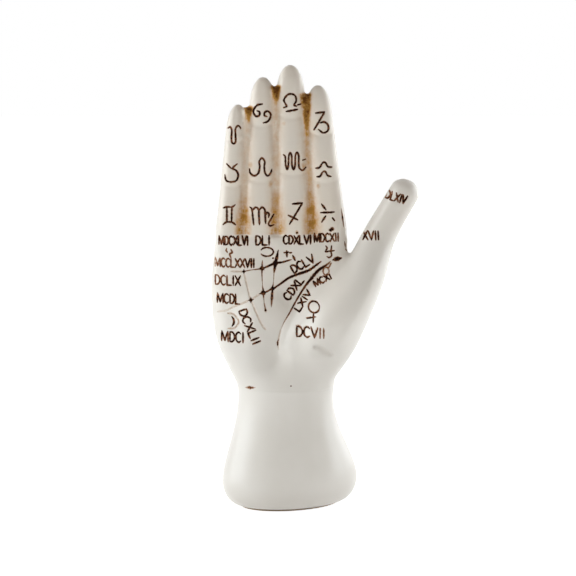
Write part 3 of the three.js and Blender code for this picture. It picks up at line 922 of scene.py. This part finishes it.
def valley_stain(points, outward):
    """Brown wash left in the valleys between the fingers: most at the bottom and at the top."""
    x, _, z = points.T
    distance = z - FINGER_LINE
    total = np.zeros(len(points))
    for left, right, drop, valley in zip(FINGERS, FINGERS[1:], WEB_DROPS, VALLEYS):
        crown_length, crown, wash, core, foot, narrow, wide = valley
        top = min(finger_length(left), finger_length(right)) - drop
        ends = [web_x(left, right, place) + WRIST_SHIFT for place in (0, top)]
        off = np.abs(x - np.interp(distance, (0, top), ends))
        low = fade(*VALLEY_FOOT, distance)
        half = narrow + (wide - narrow) * low
        stain = (wash + foot * low) * fade(*np.outer(WASH_EDGE, half), off)
        stain += VEIL * fade(*np.outer(VEIL_EDGE, half), off)
        stain += core * fade(CORE_EDGE[0], half * CORE_EDGE[1], off)
        high = np.clip(1 + (distance - top) / crown_length, 0, 1)
        reach = narrow * (CROWN_WIDTHS[0] + CROWN_WIDTHS[1] * high)
        stain += crown * high**CROWN_POWER * fade(reach * CROWN_EDGE, reach, off)
        inside = grow(*VALLEY_START, distance) * fade(*np.add(top, VALLEY_STOP), distance)
        total = np.maximum(total, stain * inside)
    return total * grow(*VALLEY_FACING, -outward[:, 1])


def spot_stain(points, facing):
    total = np.zeros(len(points))
    for place, radius, strength in SPOTS:
        x, z = drawn_in(np.array([place]))[0]
        off = np.hypot(points[:, 0] - x, (points[:, 2] - z) * SPOT_STRETCH)
        total = np.maximum(total, strength * fade(radius * SPOT_CORE, radius, off))
    return total * facing


def cut_along(bm, faces, place, normal, clear_inner=False):
    """Cuts faces along a plane, and clears what lies behind it where that is asked for."""
    edges = dict.fromkeys(edge for face in faces for edge in face.edges)
    verts = dict.fromkeys(vert for face in faces for vert in face.verts)
    geom = [*verts, *edges, *faces]
    bmesh.ops.bisect_plane(bm, geom=geom, plane_co=place, plane_no=normal, clear_inner=clear_inner)


def closed(bm):
    """Closes each open rim with one flat face, and gives these faces."""
    rim = [edge for edge in bm.edges if edge.is_boundary]
    return bmesh.ops.holes_fill(bm, edges=rim, sides=0)["faces"]


def hand_halves():
    """Palm half and back half, cut from one engraved skin at the seam, with its shading carried over."""
    bm = engraved(*whole_hand())
    seam, backward = (0, 0, 0), (0, 1, 0)
    cut_along(bm, list(bm.faces), (0, 0, BASE_HEIGHT + JOINT_GAP), (0, 0, 1), clear_inner=True)
    cut_along(bm, list(bm.faces), seam, backward)
    bmesh.ops.scale(bm, vec=(MM, MM, MM), verts=bm.verts)
    bm.normal_update()
    shade = bm.verts.layers.float_vector.new("shade")
    for vert in bm.verts:
        vert[shade] = vert.normal
    cut_along(bm, closed(bm), seam, backward)
    halves = []
    for name, side in (("palm_glaze", -1), ("back_glaze", 1)):
        half = bm.copy()
        away = [face for face in half.faces if face.calc_center_median().y * side < 0]
        bmesh.ops.delete(half, geom=away, context="FACES")
        closed(half)
        bmesh.ops.recalc_face_normals(half, faces=half.faces)
        for face in half.faces:
            face.smooth = True
        layer = half.verts.layers.float_vector["shade"]
        shading = [Vector(vert[layer]) for vert in half.verts]
        half.verts.layers.float_vector.remove(layer)
        mesh = bpy.data.meshes.new(name)
        half.to_mesh(mesh)
        half.free()
        mesh.normals_split_custom_set_from_vertices(shading)
        halves.append(in_scene(name, mesh))
    bm.free()
    return halves


# The base piece, as rings from the foot up to the neck and down its inside
BASE_SIDES = 240
ROLL_STEPS, FLARE_STEPS, INNER_STEPS = 14, 70, 24
NECK_LIP = 0.5
SHARP_ANGLE = 40


def base_ring(level, flare, inset):
    """One level ring of the base. The flare is 0 at the belly and 1 at the wrist."""
    def between(low, high):
        return low + (high - low) * flare

    width, depth = between(BASE_WIDTH, WRIST_WIDTH) - 2 * inset, between(BASE_DEPTH, WRIST_DEPTH) - 2 * inset
    squareness = between(BASE_SQUARENESS, WRIST_SQUARENESS)
    section = (width, depth / 2, depth / 2, squareness)
    level_ring = ring(np.zeros(3), np.array((0.0, 0.0, 1.0)), section, BASE_SIDES)
    turn = math.radians(BASE_TURN * (1 - flare))
    c, s = math.cos(turn), math.sin(turn)
    turned = level_ring @ np.array(((c, s, 0), (-s, c, 0), (0, 0, 1)))
    return turned + np.array((WRIST_SHIFT * flare, 0, level))


def flare_rings(inset, steps, most):
    """Rings from the belly up to the wrist. The outer ones draw in past the wrist's size, as a neck."""
    t = np.linspace(0, 1, steps + 1)
    flare = np.minimum(3 * NECK_PULL * (1 - t) * t**2 + t**3, most)
    level = (
        BELLY_HEIGHT * (1 - t) ** 3
        + 3 * (BELLY_HEIGHT + BELLY_EASE) * (1 - t) ** 2 * t
        + 3 * (BASE_HEIGHT - NECK_EASE) * (1 - t) * t**2
        + BASE_HEIGHT * t**3
    )
    return [base_ring(z, f, inset) for z, f in zip(level, flare)]


def base_piece():
    roll = []
    for angle in np.linspace(0, math.pi / 2, ROLL_STEPS)[:-1]:
        level = BELLY_HEIGHT + (FOOT_LEVEL - BELLY_HEIGHT) * math.cos(angle)
        roll.append(base_ring(level, 0, EDGE_ROLL * (1 - math.sin(angle))))
    recess = EDGE_ROLL + FOOT_RIM
    ledge = recess + LEDGE_WIDTH
    rings = [
        *roll,
        *flare_rings(0, FLARE_STEPS, NECK_PULL)[:-1],
        base_ring(BASE_HEIGHT - NECK_LIP, 1, 0),
        base_ring(BASE_HEIGHT, 1, JOINT_BEVEL),
        *reversed(flare_rings(BASE_WALL, INNER_STEPS, 1.0)),
        base_ring(LEDGE_LEVEL + LEDGE_THICKNESS, 0, ledge),
        base_ring(LEDGE_LEVEL, 0, ledge),
        base_ring(LEDGE_LEVEL, 0, recess),
        base_ring(FOOT_LEVEL, 0, recess),
    ]
    numbers = np.arange(len(rings) * BASE_SIDES).reshape(-1, BASE_SIDES)
    beside, above = np.roll(numbers, -1, 1), np.roll(numbers, -1, 0)
    faces = np.stack([numbers, beside, np.roll(above, -1, 1), above], -1).reshape(-1, 4).tolist()
    obj = object_of("base_glaze", np.vstack(rings) * MM, faces)
    obj.data.shade_smooth()
    obj.data.set_sharp_from_angle(angle=math.radians(SHARP_ANGLE))
    return obj


# Materials
class Nodes:
    """Adds nodes to a material or a world and joins them."""

    def __init__(self, owner):
        owner.use_nodes = True
        self.owner = owner
        self.tree = owner.node_tree

    def fill(self, node, inputs):
        """Joins outputs to a node's inputs, or sets these to plain values."""
        for name, value in inputs.items():
            if isinstance(value, bpy.types.NodeSocket):
                self.tree.links.new(value, node.inputs[name])
            else:
                socket = node.inputs[name]
                socket.default_value = (*value, 1.0) if socket.type == "RGBA" else value
        return node

    def add(self, kind, inputs=None, **settings):
        node = self.tree.nodes.new(kind)
        for name, value in settings.items():
            setattr(node, name, value)
        return self.fill(node, inputs or {})

    def surface(self, inputs):
        self.fill(self.tree.nodes["Principled BSDF"], inputs)
        return self.owner

    def noise(self, scale, detail=3.0, roughness=0.55, stretch=None):
        place = self.add("ShaderNodeTexCoord").outputs["Object"]
        if stretch:
            place = self.add("ShaderNodeMapping", {"Vector": place, "Scale": stretch}).outputs["Vector"]
        settings = {"Vector": place, "Scale": scale, "Detail": detail, "Roughness": roughness}
        return self.add("ShaderNodeTexNoise", settings).outputs["Fac"]

    def attribute(self, name):
        return self.add("ShaderNodeAttribute", attribute_name=name).outputs["Fac"]

    def math(self, operation, *values, clamp=False):
        node = self.add("ShaderNodeMath", dict(enumerate(values)), operation=operation, use_clamp=clamp)
        return node.outputs[0]

    def times(self, one, other, clamp=False):
        return self.math("MULTIPLY", one, other, clamp=clamp)

    def spread(self, value, low, high, to_low=0.0, to_high=1.0):
        settings = {"Value": value, "From Min": low, "From Max": high, "To Min": to_low, "To Max": to_high}
        return self.add("ShaderNodeMapRange", settings, clamp=True).outputs["Result"]

    def mix(self, share, one, other):
        """Mixes two colours, which are inputs 6 and 7 and output 2 of the node."""
        return self.add("ShaderNodeMix", {0: share, 6: one, 7: other}, data_type="RGBA").outputs[2]

    def bump(self, height, strength, distance):
        settings = {"Height": height, "Strength": strength, "Distance": distance}
        return self.add("ShaderNodeBump", settings).outputs["Normal"]

    def seen_directly(self):
        """1 where the camera, a reflection or a clear material looks at it, and else 0."""
        path = self.add("ShaderNodeLightPath").outputs
        seen = self.math("MAXIMUM", path["Is Camera Ray"], path["Is Glossy Ray"])
        return self.math("MAXIMUM", seen, path["Is Transmission Ray"])


def glaze_material():
    """White glaze with an antique wash: dark in the marks, honey brown in the valleys."""
    nodes = Nodes(bpy.data.materials.new("white_glaze"))
    cloudy = nodes.noise(28.0, 2.0)
    bare = nodes.mix(nodes.spread(cloudy, 0.35, 0.65), (0.79, 0.744, 0.68), (0.825, 0.779, 0.718))
    warm = nodes.times(nodes.attribute("haze"), nodes.spread(cloudy, 0.3, 0.7, 0.7, 1.0))
    white = nodes.mix(warm, bare, (0.85, 0.76, 0.655))

    stain = nodes.attribute("stain")
    streaks = nodes.noise(230.0, 3.0, 0.6, stretch=(1.0, 1.0, 0.16))
    blotches = nodes.noise(190.0, 3.0, 0.6)
    grains = nodes.noise(430.0, 4.0, 0.7)
    fine = nodes.math("ADD", nodes.times(streaks, 0.7), nodes.times(grains, 0.55))
    uneven = nodes.math("ADD", fine, nodes.times(blotches, 0.95))
    brown = nodes.times(stain, nodes.spread(uneven, 0.85, 1.35, 0.3, 1.45), clamp=True)
    honey = nodes.mix(brown, white, (0.61, 0.31, 0.075))
    deep = nodes.times(stain, nodes.spread(uneven, 0.85, 1.35, 0.5, 1.3))
    stained = nodes.mix(nodes.spread(deep, 0.85, 1.9), honey, (0.13, 0.045, 0.008))

    ink = nodes.attribute("ink")
    worn = nodes.noise(260.0, 3.0, 0.6)
    dark = nodes.times(ink, nodes.spread(worn, 0.3, 0.6, 0.65, 1.15), clamp=True)
    rusty = nodes.mix(nodes.spread(dark, 0.15, 0.5), (0.50, 0.29, 0.13), (0.21, 0.065, 0.018))
    stroke = nodes.mix(nodes.spread(dark, 0.5, 0.85), rusty, (0.012, 0.0035, 0.0018))
    washed = nodes.math("MAXIMUM", dark, brown)
    return nodes.surface({
        "Base Color": nodes.mix(nodes.spread(dark, 0.03, 0.45), stained, stroke),
        "Roughness": nodes.spread(washed, 0.1, 0.9, 0.3, 0.6),
        "Specular IOR Level": nodes.spread(washed, 0.1, 0.8, 0.45, 0.04),
        "Normal": nodes.bump(nodes.noise(160.0, 2.0), 0.05, 0.0006),
    })


def bisque_material():
    nodes = Nodes(bpy.data.materials.new("bisque"))
    grain = nodes.noise(1500.0, 4.0)
    return nodes.surface({
        "Base Color": nodes.mix(nodes.spread(grain, 0.35, 0.7), (0.62, 0.48, 0.34), (0.74, 0.62, 0.48)),
        "Roughness": nodes.spread(grain, 0.3, 0.7, 0.75, 0.95),
        "Normal": nodes.bump(grain, 0.35, 0.0003),
    })


def felt_material():
    nodes = Nodes(bpy.data.materials.new("felt"))
    fibre = nodes.noise(2600.0, 6.0, 0.7)
    fuzz = nodes.math("ADD", nodes.times(fibre, 0.8), nodes.times(nodes.noise(120.0, 2.0), 0.3))
    return nodes.surface({
        "Base Color": nodes.mix(nodes.spread(fuzz, 0.4, 0.75), (0.46, 0.34, 0.23), (0.64, 0.51, 0.37)),
        "Roughness": 1.0,
        "Sheen Weight": 0.4,
        "Normal": nodes.bump(fibre, 0.6, 0.0004),
    })


def dress(obj, material):
    obj.data.materials.clear()
    obj.data.materials.append(material)


# Studio, with lengths in metres, but the camera's sensor in millimetres
WHITE, LAMP_COLOUR, WORLD_COLOUR = (1.0, 1.0, 1.0), (0.88, 0.95, 1.0), (1.0, 0.935, 0.86)
WORLD_LIGHT, WORLD_TOP_LIGHT, WORLD_FADE = 0.305, 0.27, (0.1, 0.9)
FLOOR_SIZE, FLOOR_GLOW = 6.0, 0.86
SENSOR_WIDTH = 36.0
CLIP_START, CLIP_END = 0.01, 50.0
HAND_MIDDLE = (0.0, 0.0, 0.14)
# Lamps: place, aim, size, power and spread in degrees
LAMPS = {
    "left_box": ((-0.95, -0.05, 0.3), HAND_MIDDLE, (0.7, 1.0), 6.7, 180.0),
    "key_box": ((-0.88, -0.42, 0.32), HAND_MIDDLE, (0.35, 0.8), 2.2, 180.0),
    "right_box": ((0.95, -0.05, 0.26), HAND_MIDDLE, (0.4, 0.9), 4.2, 180.0),
    "back_box": ((0.8, 0.52, 0.26), HAND_MIDDLE, (0.6, 0.9), 4.8, 180.0),
    "floor_box": ((0.0, -0.5, 0.9), (0.0, -0.35, 0.0), (0.5, 0.3), 0.8, 35.0),
}


def studio_camera():
    data = bpy.data.cameras.new("camera")
    data.lens = CAMERA_LENS
    data.sensor_width = SENSOR_WIDTH
    data.clip_start, data.clip_end = CLIP_START, CLIP_END
    camera = in_scene("camera", data)
    tilt = math.radians(CAMERA_ELEVATION)
    back = Vector((0, -math.cos(tilt), math.sin(tilt)))
    camera.location = (Vector(CAMERA_AIM) + back * CAMERA_DISTANCE) * MM
    camera.rotation_euler = (-back).to_track_quat("-Z", "Y").to_euler()
    bpy.context.scene.camera = camera


def softbox(name, place, aim, size, power, spread):
    data = bpy.data.lights.new(name, "AREA")
    data.color = LAMP_COLOUR
    data.spread = math.radians(spread)
    data.shape = "RECTANGLE"
    data.size, data.size_y = size
    data.energy = power
    light = in_scene(name, data)
    light.location = place
    light.rotation_euler = (Vector(aim) - Vector(place)).to_track_quat("-Z", "Y").to_euler()


def studio_world():
    """White where it is looked at; its light on the object is less from above."""
    world = bpy.data.worlds.new("studio")
    bpy.context.scene.world = world
    nodes = Nodes(world)
    direction = nodes.add("ShaderNodeTexCoord").outputs["Generated"]
    height = nodes.add("ShaderNodeSeparateXYZ", {"Vector": direction}).outputs["Z"]
    strength = nodes.spread(height, *WORLD_FADE, WORLD_LIGHT, WORLD_TOP_LIGHT)
    lit = nodes.tree.nodes["Background"]
    nodes.fill(lit, {"Color": WORLD_COLOUR, "Strength": strength})
    shown = nodes.add("ShaderNodeBackground", {"Color": WHITE, "Strength": 1.0})
    shaders = {0: nodes.seen_directly(), 1: lit.outputs[0], 2: shown.outputs[0]}
    mixed = nodes.add("ShaderNodeMixShader", shaders)
    nodes.fill(nodes.tree.nodes["World Output"], {"Surface": mixed.outputs[0]})


def studio_floor():
    half = FLOOR_SIZE / 2
    corners = [(-half, -half, 0), (half, -half, 0), (half, half, 0), (-half, half, 0)]
    floor = object_of("floor", corners, [(0, 1, 2, 3)])
    nodes = Nodes(bpy.data.materials.new("pale_floor"))
    material = nodes.surface({
        "Base Color": nodes.mix(nodes.noise(3.0, 2.0), (0.80, 0.79, 0.78), (0.83, 0.82, 0.81)),
        "Roughness": 0.9,
        "Specular IOR Level": 0.0,
        "Emission Color": WHITE,
        "Emission Strength": nodes.times(nodes.seen_directly(), FLOOR_GLOW),
    })
    dress(floor, material)


def studio():
    studio_camera()
    studio_world()
    studio_floor()
    for name, settings in LAMPS.items():
        softbox(name, *settings)
    bpy.context.scene.view_settings.view_transform = "Standard"


def main():
    glaze = glaze_material()
    palm, back = hand_halves()
    base = base_piece()
    for obj, node in ((palm, "palm_half"), (back, "back_half"), (base, "flared_base")):
        dress(obj, glaze)
        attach(obj, "root")
        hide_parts(node)
    cad_pieces = (("base_disc", "bisque", bisque_material()), ("base_felt", "felt", felt_material()))
    for name, slot, material in cad_pieces:
        dress(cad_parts[name], material)
    studio()


main()
